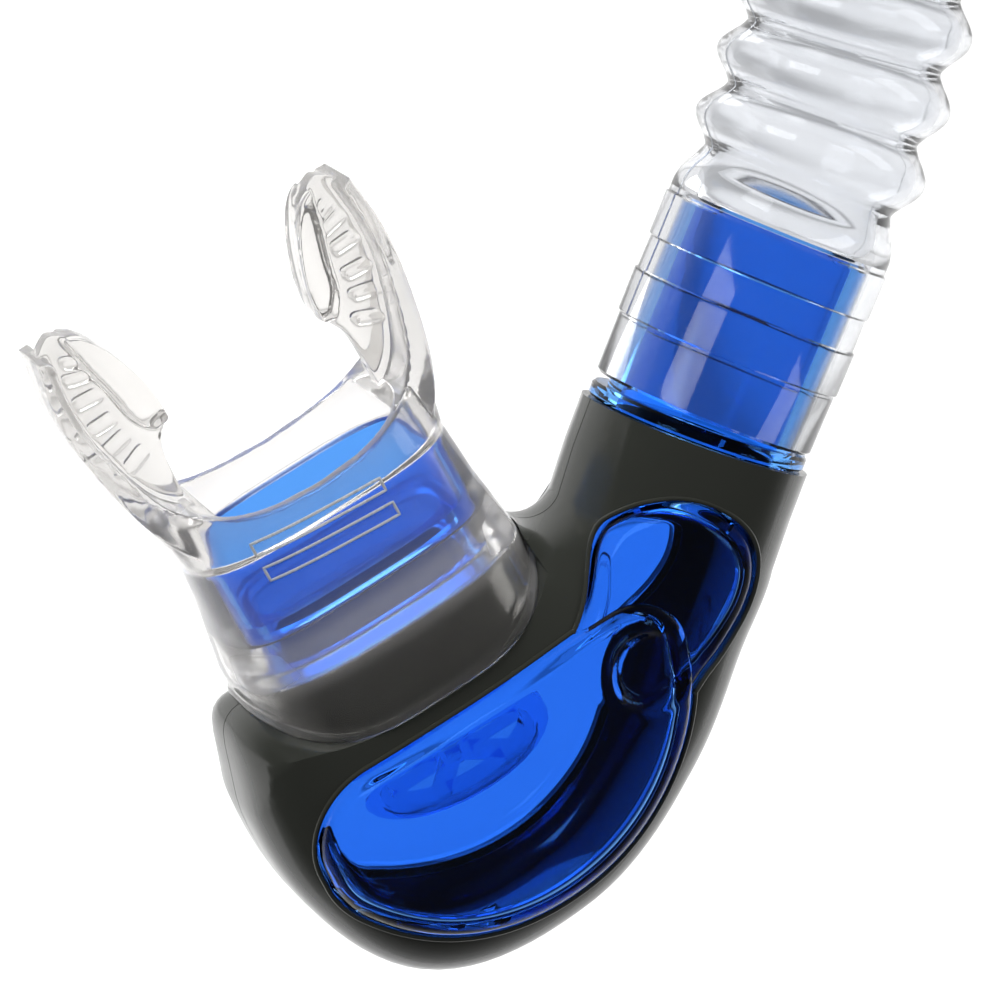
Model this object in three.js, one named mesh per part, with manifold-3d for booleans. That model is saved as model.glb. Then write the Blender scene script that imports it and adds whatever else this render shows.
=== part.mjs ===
// Snorkel with a bite mouthpiece, a purge chamber, a flexible bellows hose, a straight barrel,
// a swivelling mask-strap keeper and a float-valve top. Millimetres, +Z up along the barrel.
// Origin: centre of the keeper loop's outer flat face, which lies against the mask strap.
//
// Three nested frames are used:
//   barrel frame  - Z is the barrel's axis, height 0 is the keeper's middle
//   chamber frame - Z is the lower spigot's axis, origin where the dark covers end below the hose
//   mouth frame   - Z points out of the mouthpiece, X runs across the mouth
// The chamber frame's XZ plane is the plane in which the snorkel is J-shaped.

import * as THREE from "three";
import { mergeVertices } from "three/addons/utils/BufferGeometryUtils.js";
import Module from "manifold-3d";

const wasm = await Module();
wasm.setup();

// ---------------------------------------------------------------- driving dimensions
const GAP = 0.3; // running gap between neighbouring pieces
const SLIVER = 0.04; // thinner details are cleaned away after cuts
const AROUND = 24; // facets around a round piece
const degrees = THREE.MathUtils.degToRad;

// chamber and covers
const CHAMBER_TILT = degrees(21.5); // chamber frame leans this far from the barrel
const MOUTH_ANGLE = degrees(49); // between the spigot's axis and the mouth's axis
const MOUTH_CENTRE = new THREE.Vector3(-38.4, 0, -44.2); // mouth frame's origin in the chamber frame
const NECK_RADIUS = 18.7; // outside of the covers at the neck
const COVER_TOP = -1.3;
const COVER_WALL = 2;
const BODY_WALL = 2;
const COVER_RIM = 5; // height of the covers' mouth rim, in the mouth frame
const RIM = { width: 22.8, depth: 17.3, wall: 1.8, foot: -9 }; // the rim that the mouthpiece's skirt is stretched over
const NOTCH = new THREE.Vector2(-24.5, -17); // centre of the inner bend, outside the material
// How far the covers reach from the notch at each angle below the horizontal: angle, inner, outer,
// half depth, squareness of the section
const BEND = [
  [0, 6.3, 43.2, 18.4, 2.1],
  [20, 6.1, 45.6, 18.4, 2.2],
  [40, 5.8, 54.6, 18.5, 2.4],
  [62, 5.5, 68.8, 18.8, 2.7],
  [83, 5.3, 77.6, 19, 3],
  [100, 5.2, 72.4, 19, 3.2],
  [115, 5.2, 65, 18.8, 3.4],
  [131, 5.2, 57.6, 18.4, 3.6],
];

// windows: a D-shaped cheek in the mouth frame and a round-topped panel on the neck
const CHEEK = { x: 3, z: -14, radius: 35.2, top: -11, left: -28.4, foot: 13, corner: 8, proud: 1.5 };
const PANEL = {
  proud: -0.2,
  line: [
    [6.2, -39], [7.6, -34.5], [9.2, -31], [10.5, -27.2], [11.3, -22.8], [10.9, -18.5], [9.4, -15.2],
    [6.6, -12.4], [2.6, -10.5], [-2.4, -9.7], [-6.7, -10.4], [-10.2, -12.4], [-12.6, -14.8], [-14.4, -17.8],
    [-15.1, -21.4], [-15, -25.2], [-14.7, -28.9], [-14.8, -32], [-15.2, -35], [-15.2, -39],
  ],
};
const DIMPLE = { x: 29.9, z: -22, radius: 7.2, face: 19, depth: 1.6 };

// spigot, mouth duct and purge valve
const SPIGOT = { radius: 15.4, bore: 13, top: 32.5, lean: degrees(2), collarRadius: 17.8, collarTop: 1.3 };
const DUCT = { neckWidth: 18.5, neckDepth: 10.5, headWidth: 20.8, headDepth: 13, headFoot: 11.7, top: 25 };
const DUCT_BORE = { width: 16.4, depth: 8.4 };
const PURGE = { z: -24, radius: 16, thick: 2.4, opening: 12, hub: 3.2, spokes: 6, spoke: 2.2 };
const DIAPHRAGM = { radius: 13.2, thick: 0.8, stem: 1, bulb: 1.9, hole: 1.3, lift: 1.5 };
const SHELF = { top: -25.2, thick: 1.6, hole: 14.4 };
const VENT = { from: 72, step: 5, count: 6, width: 2.2, halfLength: 4 };

// mouthpiece, in the mouth frame
const SKIRT = { width: 24.7, depth: 19.3, foot: -7, ends: 3.4 }; // its foot dips at the cheeks
const BITE = {
  plate: 2, // half thickness of a bite tab
  beadHalf: 4.5, // half height of the bead along its inner edge
  shieldHalf: 13, // half height of the lip shield at its middle
  shieldReach: 30,
};

// hose
const HOSE = {
  foot: 2.2, // cuff starts here on the spigot
  bendFrom: 38,
  bendLength: 90,
  end: 156,
  cuffRadius: 18,
  cuffBore: 15.7,
  topRadius: 17,
  topBore: 14.3,
  crest: 18.8,
  valley: 15.5,
  wall: 1.7,
  firstCrest: 46.4,
  pitch: 10.9,
  crests: 8,
};

// barrel, keeper and top, in the barrel frame
const BARREL = { radius: 14, bore: 12.2, foot: -110, top: 56, axisX: 30.2 };
const CUFF_TOP = -87; // height of the hose's upper end
const STOP_RING = { foot: CUFF_TOP + GAP, top: -82.4, radius: 17 };
const BAND = { foot: 34, top: 41, radius: 14.95 };
const LINER = { radius: 15.2, half: 12 };
const COLLAR = { radius: 17.3, half: 11, bossFace: -19.6, bossHalf: 8 };
const CLIP = { back: -19.9, face: -30.2, plate: 2.3, halfLength: 17, halfWidth: 9, slotHalf: 13.5 };
const PIN = { radius: 1.6, head: 3.2, headThick: 0.9, foot: -16.4 };
const TOP = { sleeveFoot: 44, deck: 56.5, deckThick: 3, mouthTop: 72, right: 41, half: 18 };
const CAP = { top: 96, wall: 1.8 };
const ROCKER = { x: 17.5, z: 78, open: degrees(18), plate: 2, disc: 12, hub: 3, hubHalf: 5 };
const FLOAT = { left: 25, right: 38, foot: 67, half: 11 };
const ROCKER_PIN = { radius: 1.1, half: 9 };

// ---------------------------------------------------------------- materials
const material = (color, roughness, extra = {}) =>
  new THREE.MeshStandardMaterial({ color, roughness, metalness: 0, ...extra });
const CLEAR = material("#e9ecef", 0.15, { transparent: true, opacity: 0.35 });
const BLUE = material("#1238d8", 0.08, { transparent: true, opacity: 0.75 });
const CHARCOAL = material("#24261f", 0.3);
const YELLOW = material("#d9e021", 0.4);
const WHITE = material("#e6e6e2", 0.5);
const STEEL = material("#b9bcc0", 0.25, { metalness: 1 });

// ---------------------------------------------------------------- solids
function solid(geometry, matrix) {
  const bare = new THREE.BufferGeometry();
  const source = geometry.index ? geometry.toNonIndexed() : geometry;
  bare.setAttribute("position", source.getAttribute("position").clone());
  if (matrix) bare.applyMatrix4(matrix);
  const merged = mergeVertices(bare, 1e-4);
  return new wasm.Manifold(
    new wasm.Mesh({
      numProp: 3,
      vertProperties: merged.attributes.position.array,
      triVerts: new Uint32Array(merged.index.array),
    }),
  );
}

function geometryOf(shape) {
  const mesh = shape.getMesh();
  const geometry = new THREE.BufferGeometry();
  geometry.setAttribute("position", new THREE.BufferAttribute(mesh.vertProperties, 3));
  geometry.setIndex(new THREE.BufferAttribute(mesh.triVerts, 1));
  geometry.computeVertexNormals();
  return geometry;
}

// The biggest of the pieces that a cut leaves, without its slivers.
function whole(shape) {
  const pieces = shape.simplify(SLIVER).decompose();
  return pieces.reduce((best, piece) => (piece.volume() > best.volume() ? piece : best));
}

const join = (...solids) => solids.reduce((all, next) => all.add(next));
const cut = (from, ...tools) => tools.reduce((rest, tool) => rest.subtract(tool), from);

const frameMatrix = (position, angle) =>
  new THREE.Matrix4().makeRotationY(angle).setPosition(position);
const mouthFrame = frameMatrix(MOUTH_CENTRE, -MOUTH_ANGLE);
const spigotFrame = frameMatrix(new THREE.Vector3(), SPIGOT.lean);

function box(x0, x1, y0, y1, z0, z1, matrix) {
  const geometry = new THREE.BoxGeometry(x1 - x0, y1 - y0, z1 - z0);
  geometry.translate((x0 + x1) / 2, (y0 + y1) / 2, (z0 + z1) / 2);
  return solid(geometry, matrix);
}

// A round piece about Z from its half section, a list of [radius, height] that closes on itself
// or starts and ends on the axis.
function turned(profile, matrix, facets = AROUND) {
  const points = profile.map(([r, z]) => new THREE.Vector2(r, z));
  if (profile[0][0] > 0) points.push(points[0].clone());
  const geometry = new THREE.LatheGeometry(points, facets);
  geometry.rotateX(Math.PI / 2); // the lathe turns about Y
  geometry.scale(1, -1, 1);
  flip(geometry);
  const made = solid(geometry, matrix);
  if (made.volume() > 0) return made;
  flip(geometry);
  return solid(geometry, matrix);
}

function flip(geometry) {
  const index = geometry.index.array;
  for (let i = 0; i < index.length; i += 3) {
    [index[i + 1], index[i + 2]] = [index[i + 2], index[i + 1]];
  }
}

const cylinder = (radius, z0, z1, matrix, facets) =>
  turned([[0, z0], [radius, z0], [radius, z1], [0, z1]], matrix, facets);
const ring = (bore, radius, z0, z1, matrix, facets) =>
  turned([[bore, z0], [radius, z0], [radius, z1], [bore, z1]], matrix, facets);
const alongY = (x, z) => new THREE.Matrix4().makeRotationX(-Math.PI / 2).setPosition(x, 0, z);
const alongX = (x) => new THREE.Matrix4().makeRotationY(Math.PI / 2).setPosition(x, 0, 0);

// A closed surface through equal loops of points, with flat ends.
function loft(loops) {
  const count = loops[0].length;
  const vertices = loops.flat();
  const faces = [];
  for (let i = 0; i + 1 < loops.length; i++) {
    for (let j = 0; j < count; j++) {
      const next = (j + 1) % count;
      const a = i * count + j;
      const b = i * count + next;
      faces.push(a, b, b + count, a, b + count, a + count);
    }
  }
  for (const [row, turnedOver] of [[0, true], [loops.length - 1, false]]) {
    const centre = vertices.length;
    const middle = new THREE.Vector3();
    loops[row].forEach((p) => middle.addScaledVector(p, 1 / count));
    vertices.push(middle);
    for (let j = 0; j < count; j++) {
      const a = row * count + j;
      const b = row * count + ((j + 1) % count);
      faces.push(centre, turnedOver ? b : a, turnedOver ? a : b);
    }
  }
  const geometry = new THREE.BufferGeometry().setFromPoints(vertices);
  geometry.setIndex(faces);
  const made = solid(geometry);
  if (made.volume() > 0) return made;
  geometry.setIndex(faces.slice().reverse());
  return solid(geometry);
}

// One loop of a section: a superellipse with its width along `across` and its depth along Y.
function section(centre, across, width, depth, power) {
  const loop = [];
  for (let i = 0; i < AROUND; i++) {
    const a = (2 * Math.PI * i) / AROUND;
    const rounded = (v) => Math.sign(v) * Math.abs(v) ** (2 / power);
    const point = centre.clone().addScaledVector(across, width * rounded(Math.cos(a)));
    point.y += depth * rounded(Math.sin(a));
    loop.push(point);
  }
  return loop;
}

// A prism along Y of a shape drawn in XZ.
function slab(shape, halfDepth, matrix) {
  const geometry = new THREE.ExtrudeGeometry(shape, {
    depth: 2 * halfDepth,
    bevelEnabled: false,
    curveSegments: 10,
  });
  geometry.translate(0, 0, -halfDepth);
  geometry.rotateX(Math.PI / 2);
  return solid(geometry, matrix);
}

// A prism along Z of a superellipse.
function duct(width, depth, z0, z1, power, matrix) {
  const across = new THREE.Vector3(1, 0, 0);
  const made = loft([z0, z1].map((z) => section(new THREE.Vector3(0, 0, z), across, width, depth, power)));
  return solid(geometryOf(made), matrix);
}

// ---------------------------------------------------------------- the J-shaped body
// The covers' outer shape, drawn in by `inset` (or out, if negative).
function jBody(inset, top = COVER_TOP) {
  const across = new THREE.Vector3(1, 0, 0);
  const loops = [top, -9].map((z) =>
    section(new THREE.Vector3(0, 0, z), across, NECK_RADIUS - inset, NECK_RADIUS - inset, 2),
  );
  const outline = new THREE.SplineCurve(BEND.map(([angle, , outer]) => new THREE.Vector2(angle, outer)));
  const last = BEND[BEND.length - 1][0];
  const steps = 11;
  for (let i = 0; i <= steps; i++) {
    const { x: angle, y: outer } = outline.getPoint(i / steps);
    const [inner, depth, power] = [1, 3, 4].map((column) => alongBend(angle, column));
    const turn = -degrees(Math.min(angle, last));
    const out = new THREE.Vector3(Math.cos(turn), 0, Math.sin(turn));
    const centre = new THREE.Vector3(NOTCH.x, 0, NOTCH.y).addScaledVector(out, (inner + outer) / 2);
    loops.push(section(centre, out, (outer - inner) / 2 - inset, depth - inset, power));
  }
  return loft(loops);
}

// A column of BEND at an angle between its rows.
function alongBend(angle, column) {
  const row = Math.max(1, BEND.findIndex((r) => r[0] >= angle - 1e-9));
  const [a, b] = [BEND[row - 1], BEND[row]];
  const share = THREE.MathUtils.smoothstep(angle, a[0], b[0]);
  return a[column] + (b[column] - a[column]) * share;
}

const aboveMouth = (z) => box(-80, SKIRT.width + 3, -60, 60, z, z + 90, mouthFrame);
const belowMouth = (z) => box(-80, 120, -60, 60, z - 120, z, mouthFrame);

// The cheek window's outline in the mouth frame, grown by `grow` all round.
function cheekShape(grow) {
  const { x, z, radius, top, left, foot, corner } = CHEEK;
  const shape = new THREE.Shape();
  const arc = (cx, cz, reach, from, to) => shape.absarc(cx, cz, reach + grow, from, to, true);
  const rightX = x + Math.sqrt((radius - corner) ** 2 - (top - corner - z) ** 2);
  const rightAngle = Math.atan2(top - corner - z, rightX - x);
  const leftZ = z - Math.sqrt((radius - foot) ** 2 - (left + foot - x) ** 2);
  const leftAngle = Math.atan2(leftZ - z, left + foot - x);
  arc(left + foot, top - foot, foot, Math.PI, Math.PI / 2);
  arc(rightX, top - corner, corner, Math.PI / 2, rightAngle);
  arc(x, z, radius, rightAngle, leftAngle);
  arc(left + foot, leftZ, foot, leftAngle + 2 * Math.PI, Math.PI);
  shape.closePath();
  return shape;
}

// The neck panel's outline in the chamber frame.
function panelShape(grow) {
  const points = new THREE.SplineCurve(PANEL.line.map(([x, z]) => new THREE.Vector2(x, z))).getSpacedPoints(30);
  const count = points.length;
  const grown = points.map((point, i) => {
    const along = points[(i + 1) % count].clone().sub(points[(i + count - 1) % count]).normalize();
    return new THREE.Vector2(point.x + grow * along.y, point.y - grow * along.x);
  });
  return new THREE.Shape(grown);
}

const THROUGH = 40; // half length of a cut that goes through the whole depth
const cheekPrism = (grow) => slab(cheekShape(grow), THROUGH, mouthFrame);
const panelPrism = (grow) => slab(panelShape(grow), THROUGH);

// Slots through the underside, fanned about the notch.
function ventSlots() {
  const slots = [];
  for (let i = 0; i < VENT.count; i++) {
    const angle = degrees(VENT.from + i * VENT.step);
    const matrix = frameMatrix(new THREE.Vector3(NOTCH.x, 0, NOTCH.y), angle);
    const { width, halfLength } = VENT;
    slots.push(box(58, 90, -halfLength, halfLength, -width / 2, width / 2, matrix));
  }
  return join(...slots);
}

// Everything above the mouthpiece skirt's foot, which is lowest at the cheeks.
function aboveSkirt(lowered) {
  const { foot, ends } = SKIRT;
  const width = SKIRT.width + 1;
  const shape = new THREE.Shape();
  const steps = 12;
  for (let i = 0; i <= steps; i++) {
    const x = width * ((2 * i) / steps - 1);
    shape.lineTo(x, foot - lowered + (ends - foot) * (x / width) ** 4);
  }
  shape.lineTo(60, ends - lowered);
  shape.lineTo(60, 90);
  shape.lineTo(-60, 90);
  shape.lineTo(-60, ends - lowered);
  shape.closePath();
  return slab(shape, THROUGH, mouthFrame);
}

// The room that the skirt takes out of the covers.
function skirtRoom() {
  const { width, depth } = SKIRT;
  return duct(width + GAP, depth + GAP, -20, 20, 3, mouthFrame).intersect(aboveSkirt(GAP));
}

function covers() {
  const inset = COVER_WALL;
  const { width, depth, wall, foot } = RIM;
  const rim = duct(width, depth, foot - 7, COVER_RIM, 3, mouthFrame);
  const blank = join(cut(jBody(0), skirtRoom()), rim);
  const neckBore = cylinder(NECK_RADIUS - inset, -12, 5);
  const rimBore = duct(width - wall, depth - wall, foot - 4, COVER_RIM + 1, 3, mouthFrame);
  const bodyBore = jBody(inset, COVER_TOP + 1).intersect(belowMouth(foot));
  const shell = cut(blank, bodyBore, neckBore, rimBore);
  const shaped = cut(shell, aboveMouth(COVER_RIM), cheekPrism(GAP), panelPrism(GAP), ventSlots());
  const half = (y0, y1) => whole(shaped.intersect(box(-90, 60, y0, y1, -120, 20)));
  return { front: half(-60, -GAP / 2), rear: half(GAP / 2, 60) };
}

// The blue chamber: two half shells that meet on the mid-plane, the hose spigot and the mouth duct.
function chamber() {
  const inset = COVER_WALL + GAP;
  const wall = inset + BODY_WALL;
  const rimInset = RIM.wall + GAP;
  const shoulder = RIM.foot - GAP;
  const rimDuct = (extra, z0, z1) =>
    duct(RIM.width - rimInset - extra, RIM.depth - rimInset - extra, z0, z1, 3, mouthFrame);
  const core = join(
    jBody(inset).intersect(belowMouth(shoulder)),
    rimDuct(0, shoulder - 3, COVER_RIM - GAP),
  );
  const cheek = cheekPrism(0).intersect(jBody(-CHEEK.proud));
  const panel = panelPrism(0).intersect(jBody(-PANEL.proud));
  const cheekHollow = cheekPrism(-BODY_WALL).intersect(jBody(BODY_WALL - CHEEK.proud));
  const panelHollow = panelPrism(-BODY_WALL).intersect(jBody(BODY_WALL - PANEL.proud));
  const ductBore = duct(DUCT_BORE.width, DUCT_BORE.depth, -3, DUCT.top + 1, 3, mouthFrame);
  const spigotBore = cylinder(SPIGOT.bore, -14, SPIGOT.top + 1, spigotFrame);
  const hollow = join(
    jBody(wall, -3).intersect(belowMouth(shoulder - BODY_WALL)),
    rimDuct(BODY_WALL, shoulder - 5, COVER_RIM - GAP - BODY_WALL),
    cheekHollow,
    panelHollow,
    ductBore,
    spigotBore,
  );
  const dimple = dimplePair();
  const walls = cut(join(core, cheek, panel), dimple.pits);
  const shelf = cut(
    box(-60, 60, -30, 30, SHELF.top - SHELF.thick, SHELF.top, mouthFrame).intersect(jBody(inset + 1)),
    cylinder(SHELF.hole, SHELF.top - 5, SHELF.top + 5, mouthFrame),
  );
  const shell = cut(join(cut(walls, cut(hollow, dimple.backs)), shelf), ventSlots());
  const half = (y0, y1) => whole(shell.intersect(box(-90, 60, y0, y1, -120, 20)));

  const seam = COVER_TOP + GAP;
  const collar = cylinder(SPIGOT.collarRadius, seam, SPIGOT.collarTop);
  const tube = cut(cylinder(SPIGOT.radius, -4, SPIGOT.top, spigotFrame), box(-40, 40, -40, 40, -20, seam));
  const neck = duct(DUCT.neckWidth, DUCT.neckDepth, COVER_RIM, DUCT.headFoot + 1, 3, mouthFrame);
  const head = duct(DUCT.headWidth, DUCT.headDepth, DUCT.headFoot, DUCT.top, 3.4, mouthFrame);
  return {
    front: half(-60, -GAP / 2),
    rear: half(GAP / 2, 60),
    spigot: whole(cut(join(collar, tube), spigotBore)),
    duct: whole(cut(join(neck, head), ductBore)),
  };
}

// Round dished recesses near the cheeks' upper ends, one on each side.
function dimplePair() {
  const pit = [];
  const back = [];
  for (const side of [-1, 1]) {
    const face = DIMPLE.face * side;
    const matrix = alongY(0, 0).setPosition(DIMPLE.x, face, DIMPLE.z).premultiply(mouthFrame);
    const { radius, depth } = DIMPLE;
    pit.push(cylinder(radius, -depth, depth, matrix, 20));
    back.push(cylinder(radius + 1.4, -depth - BODY_WALL, depth + BODY_WALL, matrix, 20));
  }
  return { pits: join(...pit), backs: join(...back) };
}

function purgeSeat() {
  const { z, radius, thick, opening, hub, spokes, spoke } = PURGE;
  const foot = z - thick / 2;
  const top = z + thick / 2;
  const seat = [ring(opening, radius, foot, top, null, 28), cylinder(hub, foot, top, null, 16)];
  for (let i = 0; i < spokes; i++) {
    const turn = new THREE.Matrix4().makeRotationZ((i * 2 * Math.PI) / spokes);
    seat.push(box(hub - 1, opening + 1, -spoke / 2, spoke / 2, foot, top, turn));
  }
  const bored = cut(join(...seat), cylinder(DIAPHRAGM.hole, foot - 1, top + 1, null, 12));
  return solid(geometryOf(bored), mouthFrame);
}

function purgeDiaphragm() {
  const foot = PURGE.z - PURGE.thick / 2 - GAP;
  const { radius, thick, stem, bulb, lift } = DIAPHRAGM;
  const top = PURGE.z + PURGE.thick / 2 + GAP + lift;
  const profile = [
    [0, foot - thick],
    [radius, foot - thick],
    [radius, foot - thick * 0.4],
    [stem + 1, foot],
    [stem, foot],
    [stem, top],
    [bulb, top],
    [stem * 0.6, top + 2.6],
    [0, top + 2.6],
  ];
  return turned(profile, mouthFrame, 24);
}

// ---------------------------------------------------------------- mouthpiece
// A symmetric outline in XZ from its right half, a list of [x, z] that starts and ends on the axis.
function mirroredShape(right) {
  const left = right.slice(1, -1).reverse().map(([x, z]) => [-x, z]);
  return new THREE.Shape([...right, ...left].map(([x, z]) => new THREE.Vector2(x, z)));
}

// The bite tab's outline on the right, and the bead along its inner edge.
function tabShape() {
  const shape = new THREE.Shape();
  shape.moveTo(20, 31);
  shape.quadraticCurveTo(26.5, 42, 27, 54);
  shape.quadraticCurveTo(27.5, 66.5, 24, 68);
  shape.quadraticCurveTo(19, 69, 16.2, 61);
  shape.quadraticCurveTo(13, 54, 13.6, 48.5);
  shape.quadraticCurveTo(17, 44, 16.8, 32);
  shape.closePath();
  return shape;
}

function beadShape() {
  const shape = new THREE.Shape();
  shape.moveTo(13.6, 48.5);
  shape.quadraticCurveTo(13, 54, 16.2, 61);
  shape.quadraticCurveTo(18, 66, 21, 66.6);
  shape.quadraticCurveTo(19, 57, 18.4, 50);
  shape.quadraticCurveTo(16, 46.5, 13.6, 48.5);
  return shape;
}

const mirrored = (matrix) => matrix.clone().multiply(new THREE.Matrix4().makeRotationZ(Math.PI));

function mouthpiece() {
  const across = new THREE.Vector3(1, 0, 0);
  const at = (z, width, depth, power) => section(new THREE.Vector3(0, 0, z), across, width, depth, power);
  const outside = loft([
    at(-12, SKIRT.width, SKIRT.depth, 3),
    at(5.6, SKIRT.width, SKIRT.depth, 3),
    at(10, 24.1, 17.8, 3),
    at(16, 23.2, 15.6, 3),
    at(25, 22.4, 14.9, 3),
    at(30, 23.4, 15, 2.8),
    at(35, 24.6, 14, 2.6),
  ]);
  const shieldBand = mirroredShape([
    [0, 26.5], [14, 26.8], [20.5, 27.5], [25, 36], [27.8, 48], [28.4, 57], [27, 66.3],
    [25, 65.8], [25.6, 57], [24.8, 49], [21.4, 38.6], [16, 33.6], [9, 31.2], [0, 30.4],
  ]);
  const shieldLimit = duct(BITE.shieldReach, BITE.shieldHalf, 20, 75, 2.2);
  const shield = slab(shieldBand, 20).intersect(shieldLimit);
  const tabs = [new THREE.Matrix4(), mirrored(new THREE.Matrix4())].flatMap((side) => [
    slab(tabShape(), BITE.plate, side),
    slab(beadShape(), BITE.beadHalf, side),
  ]);
  const cupAbove = slab(mirroredShape([[0, 30.4], [9, 31.2], [16, 33.6], [21.4, 38.6], [24.8, 49], [0, 49]]), 25);
  const passage = duct(15.5, 8, 20, 40, 3);
  const body = cut(join(cut(outside, cupAbove), shield, ...tabs), passage);
  const inPlace = solid(geometryOf(body), mouthFrame).intersect(aboveSkirt(0));
  const neckRoom = duct(DUCT.neckWidth + GAP, DUCT.neckDepth + GAP, -10, DUCT.headFoot, 3, mouthFrame);
  const headRoom = duct(
    DUCT.headWidth + GAP, DUCT.headDepth + GAP, DUCT.headFoot - GAP, DUCT.top + GAP, 3.4, mouthFrame,
  );
  const rimRoom = duct(RIM.width + GAP, RIM.depth + GAP, -20, COVER_RIM + GAP, 3, mouthFrame);
  return cut(inPlace, neckRoom, headRoom, rimRoom);
}

// ---------------------------------------------------------------- hose
// The hose's centreline in the chamber frame: straight, then bending round to the barrel's direction.
function centreline(s) {
  const { bendFrom, bendLength } = HOSE;
  const straight = Math.min(s, bendFrom);
  const point = new THREE.Vector3(straight * Math.sin(SPIGOT.lean), 0, straight * Math.cos(SPIGOT.lean));
  const steps = 60;
  const curved = THREE.MathUtils.clamp(s - bendFrom, 0, bendLength);
  for (let i = 0; i < steps; i++) {
    const angle = leanAt(bendFrom + (curved * (i + 0.5)) / steps);
    point.x += (Math.sin(angle) * curved) / steps;
    point.z += (Math.cos(angle) * curved) / steps;
  }
  const rest = Math.max(0, s - bendFrom - bendLength);
  point.x += Math.sin(leanAt(s)) * rest;
  point.z += Math.cos(leanAt(s)) * rest;
  return point;
}

// The centreline's lean at a length along it, in the chamber frame.
function leanAt(s) {
  const share = THREE.MathUtils.clamp((s - HOSE.bendFrom) / HOSE.bendLength, 0, 1);
  return SPIGOT.lean - (CHAMBER_TILT + SPIGOT.lean) * share;
}

function hose() {
  const { foot, end, cuffRadius, cuffBore, topRadius, topBore, crest, valley, wall } = HOSE;
  const { firstCrest, pitch, crests } = HOSE;
  const mean = (crest + valley) / 2;
  const swing = (crest - valley) / 2;
  const wave = [];
  const perPitch = 4;
  for (let i = 0; i <= crests * perPitch; i++) {
    const s = firstCrest - pitch / 2 + (i * pitch) / perPitch;
    wave.push([s, mean - swing * Math.cos((2 * Math.PI * i) / perPitch)]);
  }
  const lastValley = wave[wave.length - 1][0];
  const outside = [[foot, cuffRadius - 0.1], [32.3, cuffRadius + 0.4], [36, cuffRadius], [38.4, 16.6], ...wave];
  outside.push([lastValley + 2.4, topRadius - 0.5], [lastValley + 4.4, topRadius], [end, topRadius]);
  const inside = [[foot, cuffBore], [SPIGOT.top + 1, cuffBore], [36.5, 14.6]];
  inside.push(...wave.map(([s, r]) => [s, r - wall]));
  inside.push([lastValley + 2.2, topBore - 0.8], [lastValley + 2.6, topBore], [end, topBore]);
  const profile = [...outside, ...inside.reverse()];
  const facets = 24;
  const vertices = [];
  const faces = [];
  profile.forEach(([s, r], row) => {
    const centre = centreline(s);
    const lean = leanAt(s);
    for (let j = 0; j < facets; j++) {
      const a = (2 * Math.PI * j) / facets;
      const sideways = r * Math.cos(a);
      vertices.push(
        new THREE.Vector3(
          centre.x + sideways * Math.cos(lean),
          r * Math.sin(a),
          centre.z - sideways * Math.sin(lean),
        ),
      );
      const next = (j + 1) % facets;
      const above = ((row + 1) % profile.length) * facets;
      faces.push(row * facets + j, row * facets + next, above + next);
      faces.push(row * facets + j, above + next, above + j);
    }
  });
  const geometry = new THREE.BufferGeometry().setFromPoints(vertices);
  geometry.setIndex(faces);
  return solid(geometry);
}

// ---------------------------------------------------------------- barrel and keeper
const barrelTube = () => ring(BARREL.bore, BARREL.radius, BARREL.foot, BARREL.top);
const sleeveBore = BARREL.radius + GAP;

function keeperCollar() {
  const { radius, half, bossFace, bossHalf } = COLLAR;
  const bore = LINER.radius + GAP;
  const boss = box(bossFace, -bore, -bossHalf, bossHalf, -bossHalf, bossHalf);
  const blank = cut(join(cylinder(radius, -half, half), boss), cylinder(bore, -half - 1, half + 1));
  return cut(blank, cylinder(PIN.radius + GAP, PIN.foot - 10, PIN.foot + GAP, alongX(0), 16));
}

function keeperClip() {
  const { back, face, plate, halfLength, halfWidth, slotHalf } = CLIP;
  const outline = new THREE.Shape();
  const corner = 5;
  const [w, h] = [halfWidth - corner, halfLength - corner];
  outline.absarc(w, h, corner, 0, Math.PI / 2, false);
  outline.absarc(-w, h, corner, Math.PI / 2, Math.PI, false);
  outline.absarc(-w, -h, corner, Math.PI, 1.5 * Math.PI, false);
  outline.absarc(w, -h, corner, 1.5 * Math.PI, 2 * Math.PI, false);
  const geometry = new THREE.ExtrudeGeometry(outline, { depth: back - face, bevelEnabled: false });
  geometry.applyMatrix4(new THREE.Matrix4().set(0, 0, 1, face, 1, 0, 0, 0, 0, 1, 0, 0, 0, 0, 0, 1));
  const slot = box(face + plate, back - plate, -20, 20, -slotHalf, slotHalf);
  const hole = cylinder(PIN.radius + GAP, back - plate - 1, back + 1, alongX(0), 16);
  return cut(solid(geometry), slot, hole);
}

function keeperPin() {
  const head = CLIP.back - CLIP.plate - GAP;
  const { radius, head: headRadius, headThick, foot } = PIN;
  return turned(
    [[0, head - headThick], [headRadius, head - headThick], [headRadius, head], [radius, head],
      [radius, foot], [0, foot]],
    alongX(0),
    20,
  );
}

// ---------------------------------------------------------------- float-valve top
// The top's plan: a stadium round the mouth and the float, drawn in by `inset`.
function topPlan(inset) {
  const shape = new THREE.Shape();
  const r = TOP.half - inset;
  const floatEnd = TOP.right - 12;
  shape.absarc(0, 0, r, Math.PI / 2, 1.5 * Math.PI, false);
  shape.absarc(floatEnd, -TOP.half + 12, 12 - inset, 1.5 * Math.PI, 2 * Math.PI, false);
  shape.absarc(floatEnd, TOP.half - 12, 12 - inset, 0, Math.PI / 2, false);
  shape.closePath();
  return shape;
}

function topPrism(inset, z0, z1, bevel = 0) {
  const geometry = new THREE.ExtrudeGeometry(topPlan(inset + bevel), {
    depth: z1 - z0 - bevel,
    bevelEnabled: bevel > 0,
    bevelSize: bevel,
    bevelThickness: bevel,
    bevelSegments: 3,
    curveSegments: 10,
  });
  geometry.translate(0, 0, z0);
  return solid(geometry);
}

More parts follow.
